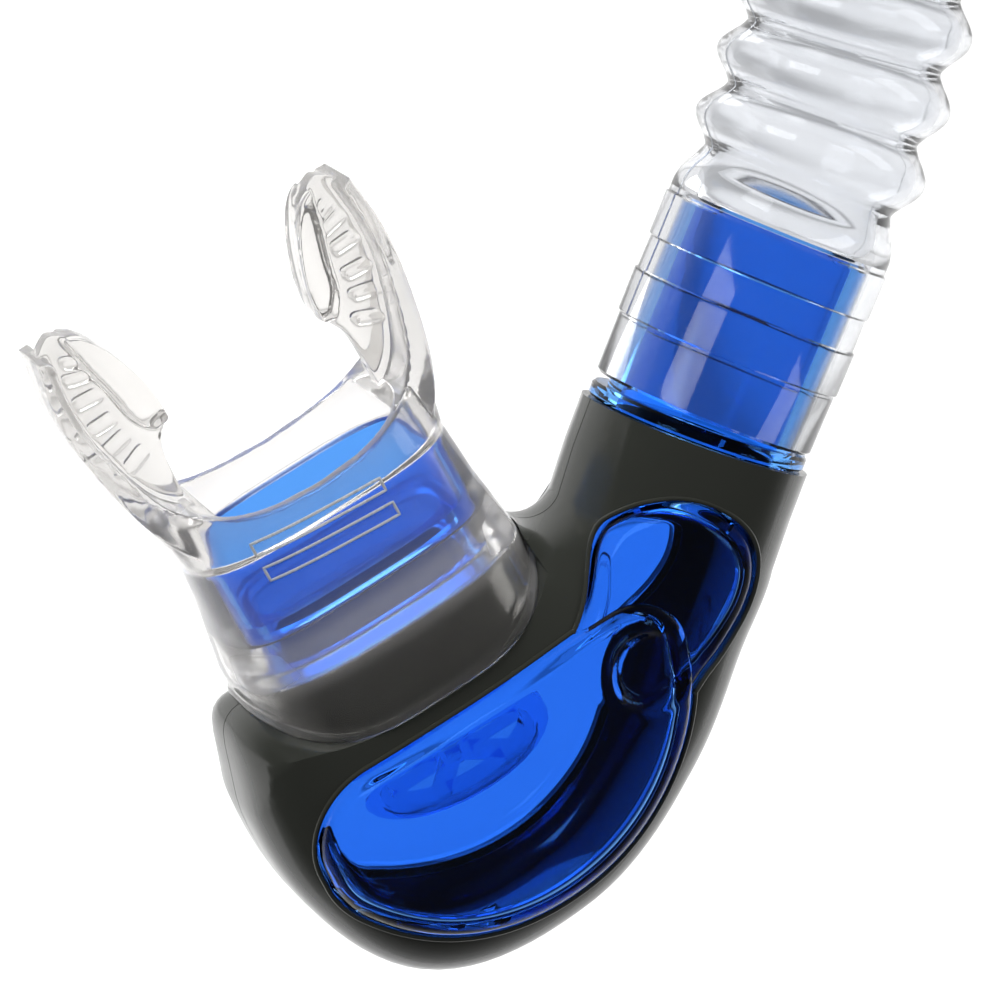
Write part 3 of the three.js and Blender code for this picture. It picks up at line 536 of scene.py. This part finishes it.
def make_chamber(look):
    inset = COVER_WALL + GAP
    wall = inset + BODY_WALL
    shoulder = RIM["foot"] - GAP
    rim = RIM["width"] - RIM["wall"] - GAP, RIM["depth"] - RIM["wall"] - GAP

    def below(z):
        return block("below", (-80, 120), (-60, 60), (z - 120, z), mouth_frame)

    body = keep(j_body("chamber", inset), below(shoulder))
    join(body, duct("rim", rim, shoulder - 3, COVER_RIM - GAP, 3, mouth_frame),
         *lenses("lens", 0, CHEEK_PROUD, 9, True))
    hollow = keep(j_body("hollow", wall, -3), below(shoulder - BODY_WALL))
    rim_inside = duct("rim", (rim[0] - 2, rim[1] - 2), shoulder - 5, COVER_RIM - GAP - BODY_WALL, 3,
                      mouth_frame)
    join(hollow, rim_inside, mouth_bore(), spigot_bore(),
         *lenses("hollow", -BODY_WALL, CHEEK_PROUD - BODY_WALL, 9, False))
    cut(body, hollow, *vent_slots())
    smooth(body, 35)
    finish_piece(body, "chamber_front", "chamber", look, "chamber_shell")
    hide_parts("chamber_rear")

    seam = COVER_TOP + GAP
    spigot = lathe("spigot", [(SPIGOT["radius"], -1.6), (SPIGOT["radius"], 31.7),
                              (SPIGOT["radius"] - 0.7, SPIGOT["top"])], spigot_frame)
    collar = [(COLLAR["radius"] - 0.3, seam), (COLLAR["radius"], seam + 0.4),
              (COLLAR["radius"], COLLAR["top"] - 0.5), (COLLAR["radius"] - 0.4, COLLAR["top"])]
    join(spigot, lathe("collar", collar, chamber_frame))
    cut(spigot, spigot_bore(), block("below", (-40, 40), (-40, 40), (-20, seam), chamber_frame))
    finish_piece(smooth(spigot, 35), "hose_spigot", "chamber", spigot_blue())

    tube = duct("duct", DUCT["neck"], COVER_RIM, DUCT["head_foot"] + 1, 3, mouth_frame)
    join(tube, duct("head", DUCT["head"], DUCT["head_foot"], DUCT["top"], 4, mouth_frame))
    wide = (DUCT["head"][0] - 2, DUCT["head"][1] - 2)
    cut(tube, mouth_bore(), duct("wide", wide, DUCT["head_foot"] + 2, DUCT["top"] + 1, 4, mouth_frame))
    finish_piece(smooth(tube, 35), "mouth_duct", "chamber", duct_blue_painted_glow())


def mouth_bore():
    return duct("bore", DUCT["bore"], -3, DUCT["top"] + 1, 3, mouth_frame)


def spigot_bore():
    return lathe("bore", [(SPIGOT["bore"], -14), (SPIGOT["bore"], SPIGOT["top"] + 1)], spigot_frame)


# ---------------------------------------------------------------- mouthpiece
def mirrored(right):
    right = [tuple(p) for p in right]
    return right + [(-x, z) for x, z in reversed(right[1:-1])]


def tab_outline():
    outer = curve_through([(19, 29), (23.6, 38), (26.4, 48), (27.2, 58), (26, 65.5), (23.2, 68)], 8)
    inner = curve_through([(19.4, 66.2), (16.2, 61), (13.9, 54), (13.5, 48.5), (16.4, 43.5), (17, 32)], 8)
    return np.vstack([outer, inner])


def bead_outline():
    edge = curve_through([(13.5, 48), (14, 54), (16.3, 61), (19, 65.4), (21.6, 67)], 8)
    back = curve_through([(20.4, 61), (18.9, 55), (18, 50.5), (16, 47.4)], 8)
    return np.vstack([edge, back])


def tooth_ribs(side):
    """Short ribs across the outer half of a bite tab, on both of its faces."""
    line = curve_through([(22.4, 42), (24.6, 48), (25.2, 55), (24.6, 61), (22.6, 65.4)], 10)
    ribs = []
    for share in np.linspace(0.06, 0.92, 6):
        i = int(share * (len(line) - 2))
        along = line[i + 1] - line[i]
        along /= np.linalg.norm(along)
        inward = np.array([-abs(along[1]), along[0] * np.sign(along[1])])
        start, end = line[i] + inward * 0.6, line[i] + inward * 4.6
        half = along * 0.42
        corners = [start - half, end - half, end + half, start + half]
        corners = [(side * x, z) for x, z in corners]
        ribs.append(slab("rib", corners, -2.75, 2.75, upright))
    return ribs


# height, half width, half depth and squareness of the mouthpiece's neck
NECK_ROWS = [(16, 23.2, 15.6, 3), (25, 22.4, 14.9, 3), (30, 23.4, 15, 2.8)]


def neck_depth(x, z):
    """How far out the mouthpiece neck's flat face is at a point."""
    z_rows, widths, depths, powers = (np.array(column, float) for column in zip(*NECK_ROWS))
    width, depth, power = (np.interp(z, z_rows, column) for column in (widths, depths, powers))
    return depth * (1 - np.abs(x / width) ** power) ** (1 / power)


def make_mouthpiece(look):
    rows = [(5.6, SKIRT["width"], SKIRT["depth"], 3), (10, 24.1, 17.8, 3), *NECK_ROWS, (35, 24.6, 14, 2.6)]
    body = skirt_shell("mouthpiece_body", 0, 0, rows, upright)
    cup = [(0, 30.4), (9, 31.2), (16, 33.6), (21.4, 38.6), (24.8, 49), (0, 60)]
    cup_line = curve_through(cup[:5], 8)
    above = mirrored([*cup_line, (24.8, 60), (0, 60)])
    cut(body, slab("cup", above, -30, 30, upright))
    band_outer = curve_through([(0, 26.5), (14, 26.8), (20.5, 28.5), (25, 36), (27.8, 48), (28.4, 57),
                                (27, 66.3)], 8)
    band_inner = curve_through([(25, 65.8), (25.8, 57), (24.8, 49), (21.4, 38.6), (16, 33.6), (9, 31.2),
                                (0, 30.4)], 8)
    shield = slab("shield", mirrored([*band_outer, *band_inner]), -25, 25, upright)
    keep(shield, duct("limit", (30, 13), 20, 75, 2.2, upright))
    parts = [shield]
    for side in (1, -1):
        tab = [(side * x, z) for x, z in tab_outline()]
        edge = [(side * x, z) for x, z in bead_outline()]
        parts += [slab("tab", tab, -2, 2, upright), slab("edge", edge, -4.3, 4.3, upright)]
        parts += tooth_ribs(side)
    foot = oval((0, 0, 0), (1, 0, 0), SKIRT["width"] - 0.3, SKIRT["depth"] - 0.3, 3)
    foot[:, 2] = foot_height(foot[:, 0], SKIRT["width"] + 1) + 0.5
    parts.append(bead("foot_lip", foot, 1.0, upright, up=(0, 0, 1)))
    join(body, *parts)
    rooms = [
        duct("passage", (19.4, 12.2), 20, 33, 3, upright),
        duct("neck_room", (DUCT["neck"][0] + GAP, DUCT["neck"][1] + GAP), -20, DUCT["head_foot"], 3, upright),
        duct("head_room", (DUCT["head"][0] + GAP, DUCT["head"][1] + GAP),
             DUCT["head_foot"] - GAP, DUCT["top"] + GAP, 4, upright),
        duct("rim_room", (RIM["width"] + GAP, RIM["depth"] + GAP), -20, COVER_RIM + GAP, 3, upright),
    ]
    cut(body, *rooms)
    soften(body, 0.36, 9)
    body.data.transform(mouth_frame @ upright.inverted())
    finish_piece(body, "mouthpiece", "chamber", look)
    for z in BAR_HEIGHTS:
        corners = [(-13.6, z + 1.8), (-13.6, z - 0.4), (8, z - 1.9), (8, z + 0.3)]
        path = even_outline(corners, 88)
        line = np.stack([path[:, 0], -neck_depth(path[:, 0], path[:, 1]), path[:, 1]], 1)
        bar = smooth(bead("bar", line, 0.24, mouth_frame), 60)
        finish_piece(bar, None, "chamber", frosted_silicone(), f"mouthpiece_bar_{round(z)}")


# ---------------------------------------------------------------- hose
def hose_profile():
    """The hose's section as (length along it, radius): up the outside, then down the inside."""
    h = HOSE
    first, pitch = h["first_crest"], h["pitch"]
    per_pitch = 22
    wave = []
    for i in range(h["crests"] * per_pitch + 1):
        swing = (0.5 - 0.5 * math.cos(2 * math.pi * i / per_pitch)) ** 0.75
        wave.append((first - pitch / 2 + i * pitch / per_pitch,
                     h["valley"] + (h["crest"] - h["valley"]) * swing))
    last = wave[-1][0]
    cuff = [(h["foot"], h["cuff"] - 0.6), (h["foot"] + 0.5, h["cuff"] - 0.1)]
    for start, end in ((12.1, 19.6), (24.8, 32.3)):
        cuff += [(start, h["cuff"]), (start + 0.25, h["cuff"] + 0.35),
                 (end - 0.25, h["cuff"] + 0.4), (end, h["cuff"] + 0.05)]
    shoulder = [(34.5, h["cuff"] + 0.05), (36.2, h["cuff"] - 0.3), (37.8, h["cuff"] - 1),
                (39.2, h["valley"] + 0.7)]
    top = [(last + 1.2, 15.7), (last + 2.6, 16.4), (last + 4.4, h["top"]),
           (h["end"] - 0.5, h["top"]), (h["end"], h["top"] - 0.5)]
    outside = cuff + shoulder + wave + top
    bore = h["cuff_bore"]
    inside_line = [(h["foot"], bore + 0.2), (h["foot"] + 0.4, bore), (SPIGOT["top"] + 0.6, bore),
                   (SPIGOT["top"] + 1.4, 15), (37, 14.6)]
    inside_line += [(s, r - h["wall"]) for s, r in wave]
    inside_line += [(last + 2.2, h["top_bore"] - 0.6), (last + 2.6, h["top_bore"]), (h["end"], h["top_bore"])]
    return outside, inside_line


def make_hose(look):
    outside, inside_line = hose_profile()
    angle = np.linspace(0, 2 * math.pi, 112, endpoint=False)
    rings = []
    for s, r in outside + inside_line[::-1]:
        x, z, lean = centreline(s)
        sideways = r * np.cos(angle)
        rings.append(np.stack([x + sideways * math.cos(lean), r * np.sin(angle),
                               z - sideways * math.sin(lean)], 1))
    hose = smooth(skin("hose_wall", rings, chamber_frame, closed=True), 40)
    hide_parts("flex_hose")
    pieces = [hose]
    for side in (-1, 1):
        path = []
        for s, r in outside[2:-2]:
            x, z, lean = centreline(s)
            path.append((x + side * r * math.cos(lean), 0, z - side * r * math.sin(lean)))
        pieces.append(smooth(bead("flex_hose_seam", path, 0.17, chamber_frame, closed=False, sides=8), 60))
    ends = [chamber_frame @ Vector((x, 0, z)) for x, z, _ in (centreline(131), centreline(39))]
    for piece in pieces:
        paint(piece, look)
        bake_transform(piece)


# ---------------------------------------------------------------- barrel, keeper and top
def make_barrel(look):
    r, b, foot, top = BARREL["radius"], BARREL["bore"], BARREL["foot"], BARREL["top"]
    profile = [(b, foot), (r - 0.6, foot), (r, foot + 0.6)]
    for z in (-74, -71.4, -68.8):
        profile += [(r, z), (r - 0.25, z + 0.25), (r - 0.25, z + 0.75), (r, z + 1)]
    profile += [(r, top - 0.6), (r - 0.6, top), (b, top)]
    tube = smooth(lathe("barrel_wall", profile, barrel_frame, closed=True), 40)
    finish_piece(tube, "barrel_tube", "barrel", look)


def ring_piece(name, node, bore, radius, z0, z1, body, look, edge):
    """A ring round the barrel with chamfered outer edges."""
    profile = [(bore, z0), (radius - edge, z0), (radius, z0 + edge),
               (radius, z1 - edge), (radius - edge, z1), (bore, z1)]
    made = smooth(lathe(name, profile, barrel_frame, closed=True), 40)
    finish_piece(made, node, body, look)


def refined(node, body, look, edge=0.45):
    """A frame piece with its edges rounded."""
    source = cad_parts[node]
    piece = bpy.data.objects.new(node + "_finished", source.data.copy())
    bpy.context.scene.collection.objects.link(piece)
    work = bmesh.new()
    work.from_mesh(piece.data)
    bmesh.ops.remove_doubles(work, verts=work.verts, dist=2e-6)
    bmesh.ops.dissolve_limit(work, angle_limit=math.radians(1.5), verts=work.verts, edges=work.edges)
    bmesh.ops.recalc_face_normals(work, faces=work.faces)
    work.to_mesh(piece.data)
    work.free()
    bevel = piece.modifiers.new("edges", "BEVEL")
    bevel.width = edge * 0.001
    bevel.segments = 3
    bevel.limit_method = "ANGLE"
    bevel.angle_limit = math.radians(40)
    bevel.harden_normals = False
    settle(piece)
    smooth(piece, 38)
    finish_piece(piece, node, body, look)


# ---------------------------------------------------------------- materials
def new_material(name, **values):
    made = bpy.data.materials.new(name)
    made.use_nodes = True
    shader = made.node_tree.nodes["Principled BSDF"]
    for key, value in values.items():
        shader.inputs[key.replace("_", " ").title().replace("Ior", "IOR")].default_value = value
    return made, made.node_tree, shader


def object_noise(tree, scale, detail=3.0):
    where = tree.nodes.new("ShaderNodeTexCoord")
    noise = tree.nodes.new("ShaderNodeTexNoise")
    noise.inputs["Scale"].default_value = scale
    noise.inputs["Detail"].default_value = detail
    tree.links.new(where.outputs["Object"], noise.inputs["Vector"])
    return noise


def ranged(tree, value, low_value, high_value):
    spread = tree.nodes.new("ShaderNodeMapRange")
    spread.inputs["From Min"].default_value = 0.3
    spread.inputs["From Max"].default_value = 0.7
    spread.inputs["To Min"].default_value = low_value
    spread.inputs["To Max"].default_value = high_value
    tree.links.new(value, spread.inputs["Value"])
    return spread.outputs["Result"]


def tinted(tree, value, first, second, socket):
    mix = tree.nodes.new("ShaderNodeMix")
    mix.data_type = "RGBA"
    mix.inputs["A"].default_value = (*first, 1)
    mix.inputs["B"].default_value = (*second, 1)
    tree.links.new(value, mix.inputs["Factor"])
    tree.links.new(mix.outputs["Result"], socket)


def bumped(tree, shader, noise, strength, distance):
    bump = tree.nodes.new("ShaderNodeBump")
    bump.inputs["Strength"].default_value = strength
    bump.inputs["Distance"].default_value = distance
    tree.links.new(noise.outputs["Fac"], bump.inputs["Height"])
    tree.links.new(bump.outputs["Normal"], shader.inputs["Normal"])


def plastic(name, first, second, rough, grain, bump, **values):
    """Moulded plastic: a slight cloudiness in colour and gloss, and the mould's fine texture."""
    made, tree, shader = new_material(name, **values)
    cloud = object_noise(tree, 45)
    tinted(tree, cloud.outputs["Fac"], first, second, shader.inputs["Base Color"])
    gloss = ranged(tree, object_noise(tree, 130, 5).outputs["Fac"], *rough)
    tree.links.new(gloss, shader.inputs["Roughness"])
    bumped(tree, shader, object_noise(tree, grain, 2), bump, 0.0002)
    return made


def dark_shell():
    return plastic("dark_shell", (0.044, 0.047, 0.04), (0.053, 0.056, 0.048), (0.12, 0.22), 420, 0.03)


def dark_matte():
    return plastic("dark_matte", (0.016, 0.017, 0.016), (0.03, 0.031, 0.03), (0.38, 0.55), 2600, 0.25)


def signal_yellow():
    return plastic("signal_yellow", (0.62, 0.68, 0.01), (0.7, 0.75, 0.02), (0.22, 0.35), 900, 0.06)


def grip_rubber():
    return plastic("grip_rubber", (0.02, 0.022, 0.024), (0.035, 0.037, 0.04), (0.55, 0.75), 1800, 0.2)


def float_foam():
    return plastic("float_foam", (0.72, 0.72, 0.69), (0.82, 0.82, 0.79), (0.7, 0.9), 3200, 0.5)


def blue_trim():
    return plastic("blue_trim", (0.004, 0.02, 0.26), (0.006, 0.035, 0.36), (0.08, 0.16), 500, 0.03)


def clear_blue():
    return plastic("clear_blue", (0.12, 0.34, 0.84), (0.14, 0.38, 0.88), (0.01, 0.04), 90, 0.006,
                   transmission_weight=1.0, ior=1.42)


def thin_silicone():
    return plastic("thin_silicone", (0.86, 0.88, 0.9), (0.91, 0.92, 0.93), (0.06, 0.14), 200, 0.03,
                   transmission_weight=0.97, ior=1.06)


def mouth_silicone():
    """Clear where it is thin over the duct, milkier at its foot, its side walls and the bite tabs."""
    made = plastic("mouth_silicone", (0.93, 0.91, 0.885), (0.97, 0.955, 0.935), (0.07, 0.15), 200, 0.03,
                   ior=1.41)
    tree = made.node_tree
    where = tree.nodes.new("ShaderNodeTexCoord")

    def distance(axis):
        direction = mouth_frame.to_3x3().normalized() @ Vector(axis)
        along = tree.nodes.new("ShaderNodeVectorMath")
        along.operation = "DOT_PRODUCT"
        along.inputs[1].default_value = direction
        tree.links.new(where.outputs["Object"], along.inputs[0])
        return along.outputs["Value"], mouth_frame.translation.dot(direction)

    height, start = distance((0, 0, 1))
    rise = tree.nodes.new("ShaderNodeMapRange")
    rise.inputs["From Min"].default_value = start - 0.008
    rise.inputs["From Max"].default_value = start + 0.066
    tree.links.new(height, rise.inputs["Value"])
    ramp = tree.nodes.new("ShaderNodeValToRGB")
    ramp.color_ramp.elements.remove(ramp.color_ramp.elements[1])
    for i, (z, clear) in enumerate(((-8, 0.97), (3, 0.95), (7, 0.74), (11, 0.76), (14, 0.93), (27, 0.94),
                                    (32, 0.88), (66, 0.88))):
        stop = ramp.color_ramp.elements[0] if i == 0 else ramp.color_ramp.elements.new((z + 8) / 74)
        stop.color = (clear, clear, clear, 1)
    tree.links.new(rise.outputs["Result"], ramp.inputs["Fac"])

    across, middle = distance((1, 0, 0))
    offset = tree.nodes.new("ShaderNodeMath")
    offset.operation = "SUBTRACT"
    offset.inputs[1].default_value = middle
    tree.links.new(across, offset.inputs[0])
    out = tree.nodes.new("ShaderNodeMath")
    out.operation = "ABSOLUTE"
    tree.links.new(offset.outputs["Value"], out.inputs[0])
    side = tree.nodes.new("ShaderNodeMapRange")
    side.inputs["From Min"].default_value = 0.0165
    side.inputs["From Max"].default_value = 0.0225
    side.inputs["To Min"].default_value = 1.0
    side.inputs["To Max"].default_value = 0.88
    tree.links.new(out.outputs["Value"], side.inputs["Value"])
    product = tree.nodes.new("ShaderNodeMath")
    product.operation = "MULTIPLY"
    tree.links.new(ramp.outputs["Color"], product.inputs[0])
    tree.links.new(side.outputs["Result"], product.inputs[1])
    tree.links.new(product.outputs["Value"], tree.nodes["Principled BSDF"].inputs["Transmission Weight"])
    return made


def frosted_silicone():
    return plastic("frosted_silicone", (0.85, 0.87, 0.88), (0.92, 0.93, 0.93), (0.2, 0.35), 200, 0.03,
                   transmission_weight=0.3, ior=1.41)


def spigot_blue():
    return plastic("spigot_blue", (0.1, 0.35, 0.88), (0.12, 0.39, 0.91), (0.01, 0.04), 90, 0.006,
                   transmission_weight=1.0, ior=1.3)


# Clear blue for the mouth duct. Its faint blue emission is a painted glow: it stands in for light scattered
# inside the tube where the covers shade it.
def duct_blue_painted_glow():
    return plastic("duct_blue_painted_glow", (0.09, 0.32, 0.78), (0.11, 0.36, 0.83), (0.02, 0.06), 90, 0.006,
                   transmission_weight=1.0, ior=1.3,
                   emission_color=(0.012, 0.08, 0.4, 1), emission_strength=0.2)


def seat_blue():
    return plastic("seat_blue", (0.4, 0.6, 0.93), (0.46, 0.65, 0.95), (0.05, 0.12), 90, 0.01,
                   transmission_weight=1.0, ior=1.04)


def clear_hose():
    return plastic("clear_hose", (0.8, 0.815, 0.84), (0.87, 0.88, 0.9), (0.03, 0.08), 160, 0.025,
                   transmission_weight=0.985, ior=1.45)


def pin_steel():
    return plastic("pin_steel", (0.52, 0.53, 0.55), (0.66, 0.67, 0.69), (0.18, 0.34), 1500, 0.08,
                   metallic=1.0)


def paint(piece, look):
    piece.data.materials.clear()
    piece.data.materials.append(look)


def finish_piece(piece, node, body, look, name=None):
    """Shades, names and places a finished piece, which stands for a frame node if it names one."""
    if name:
        piece.name = name
    elif not piece.name.endswith(("_wall", "_finished", "_shell", "_body")):
        piece.name = node + "_piece"
    if not any(f.use_smooth for f in piece.data.polygons[:1]):
        smooth(piece)
    paint(piece, look)
    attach(piece, body)
    if node:
        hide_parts(node)


# ---------------------------------------------------------------- studio
def make_camera():
    """Level with no roll, to the left of the J's side and a little above it."""
    azimuth, elevation, distance, seen_width = math.radians(-20), math.radians(15), 0.7, 0.1538
    level = math.cos(elevation)
    back = Vector((math.sin(azimuth) * level, -math.cos(azimuth) * level, math.sin(elevation)))
    target = chamber_frame.translation + Vector((-0.0327, 0, -0.0091))
    lens_data = bpy.data.cameras.new("camera")
    lens_data.sensor_width = 36
    lens_data.lens = 36 * distance / seen_width
    lens_data.clip_start = 0.01
    lens_data.clip_end = 50
    camera = bpy.data.objects.new("camera", lens_data)
    bpy.context.scene.collection.objects.link(camera)
    camera.location = target + back * distance
    camera.rotation_euler = back.to_track_quat("Z", "Y").to_euler()
    bpy.context.scene.camera = camera
    return target


def softbox(name, place, aim, size, power):
    data = bpy.data.lights.new(name, "AREA")
    data.shape = "RECTANGLE"
    data.size, data.size_y = size
    data.energy = power
    light = bpy.data.objects.new(name, data)
    bpy.context.scene.collection.objects.link(light)
    light.visible_glossy = False
    light.location = place
    light.rotation_euler = (Vector(place) - Vector(aim)).to_track_quat("Z", "Y").to_euler()


def make_world():
    """White to the camera. Everything else sees a room that is bright behind and above, dark in front."""
    world = bpy.data.worlds.new("studio")
    bpy.context.scene.world = world
    world.use_nodes = True
    tree = world.node_tree
    background = tree.nodes["Background"]
    where = tree.nodes.new("ShaderNodeTexCoord")
    toward = tree.nodes.new("ShaderNodeVectorMath")
    toward.operation = "DOT_PRODUCT"
    toward.inputs[1].default_value = (0.1, 0.98, -0.1)
    tree.links.new(where.outputs["Generated"], toward.inputs[0])
    rise = tree.nodes.new("ShaderNodeMapRange")
    rise.interpolation_type = "SMOOTHSTEP"
    rise.inputs["From Min"].default_value = -0.25
    rise.inputs["From Max"].default_value = 0.6
    rise.inputs["To Min"].default_value = 0.06
    rise.inputs["To Max"].default_value = 1.0
    tree.links.new(toward.outputs["Value"], rise.inputs["Value"])
    path = tree.nodes.new("ShaderNodeLightPath")
    mix = tree.nodes.new("ShaderNodeMix")
    mix.inputs["B"].default_value = 1.0
    tree.links.new(path.outputs["Is Camera Ray"], mix.inputs["Factor"])
    tree.links.new(rise.outputs["Result"], mix.inputs["A"])
    tree.links.new(mix.outputs["Result"], background.inputs["Strength"])
    background.inputs["Color"].default_value = (1, 1, 1, 1)


def make_floor():
    half = 6.0
    z = cad_box[0][2] - 0.05
    front = 0.01
    corners = [(-half, front, z), (half, front, z), (half, half, z), (-half, half, z)]
    floor = new_object("floor", corners, [(0, 1, 2, 3)], Matrix.Identity(4))
    made, tree, shader = new_material("floor_white", roughness=0.9, emission_strength=0.25)
    shader.inputs["Emission Color"].default_value = (1, 1, 1, 1)
    cloud = object_noise(tree, 2)
    tinted(tree, cloud.outputs["Fac"], (0.9, 0.9, 0.9), (0.92, 0.92, 0.92), shader.inputs["Base Color"])
    paint(floor, made)


# ---------------------------------------------------------------- everything
bpy.context.scene.view_settings.view_transform = "Standard"
shell, matte, blue, trim = dark_shell(), dark_matte(), clear_blue(), blue_trim()
rubber, steel = grip_rubber(), pin_steel()

make_covers(shell)
make_chamber(blue)
make_mouthpiece(mouth_silicone())
make_hose(clear_hose())
refined("purge_valve_seat", "chamber", seat_blue(), 0.25)
refined("purge_diaphragm", "diaphragm", thin_silicone(), 0.15)
make_barrel(shell)
on_barrel = BARREL["radius"] + GAP
ring_piece("stop_wall", "hose_stop_ring", on_barrel, 17.0, -86.7, -82.4, "barrel", trim, 0.8)
ring_piece("band_wall", "signal_band", on_barrel, 15.25, 34, 41, "barrel", signal_yellow(),
           0.3)
ring_piece("liner_wall", "keeper_liner", on_barrel, 15.2, -12, 12, "liner", rubber, 0.2)
ring_piece("gasket_wall", "seat_gasket", 12.4, 14.0, 72.3, 74.9, "barrel", rubber, 0.4)
refined("keeper_collar", "collar", matte, 0.6)
refined("keeper_clip", "clip", matte, 0.6)
refined("keeper_pin", "collar", steel, 0.2)
refined("valve_housing", "barrel", blue, 0.5)
refined("rocker_pin", "barrel", steel, 0.15)
refined("float_arm", "rocker", matte, 0.3)
refined("seal_disc", "rocker", rubber, 0.3)
refined("float", "rocker", float_foam(), 0.8)
refined("top_cap", "barrel", shell, 0.5)

aim = make_camera()
make_world()
make_floor()
softbox("key", aim + Vector((-0.9, -0.7, 1.1)), aim, (0.9, 0.9), 14)
softbox("fill", aim + Vector((1.1, -0.5, 0.5)), aim, (0.5, 1.2), 7)
softbox("back", aim + Vector((0.2, 1.2, 0.9)), aim, (1.4, 0.8), 12)
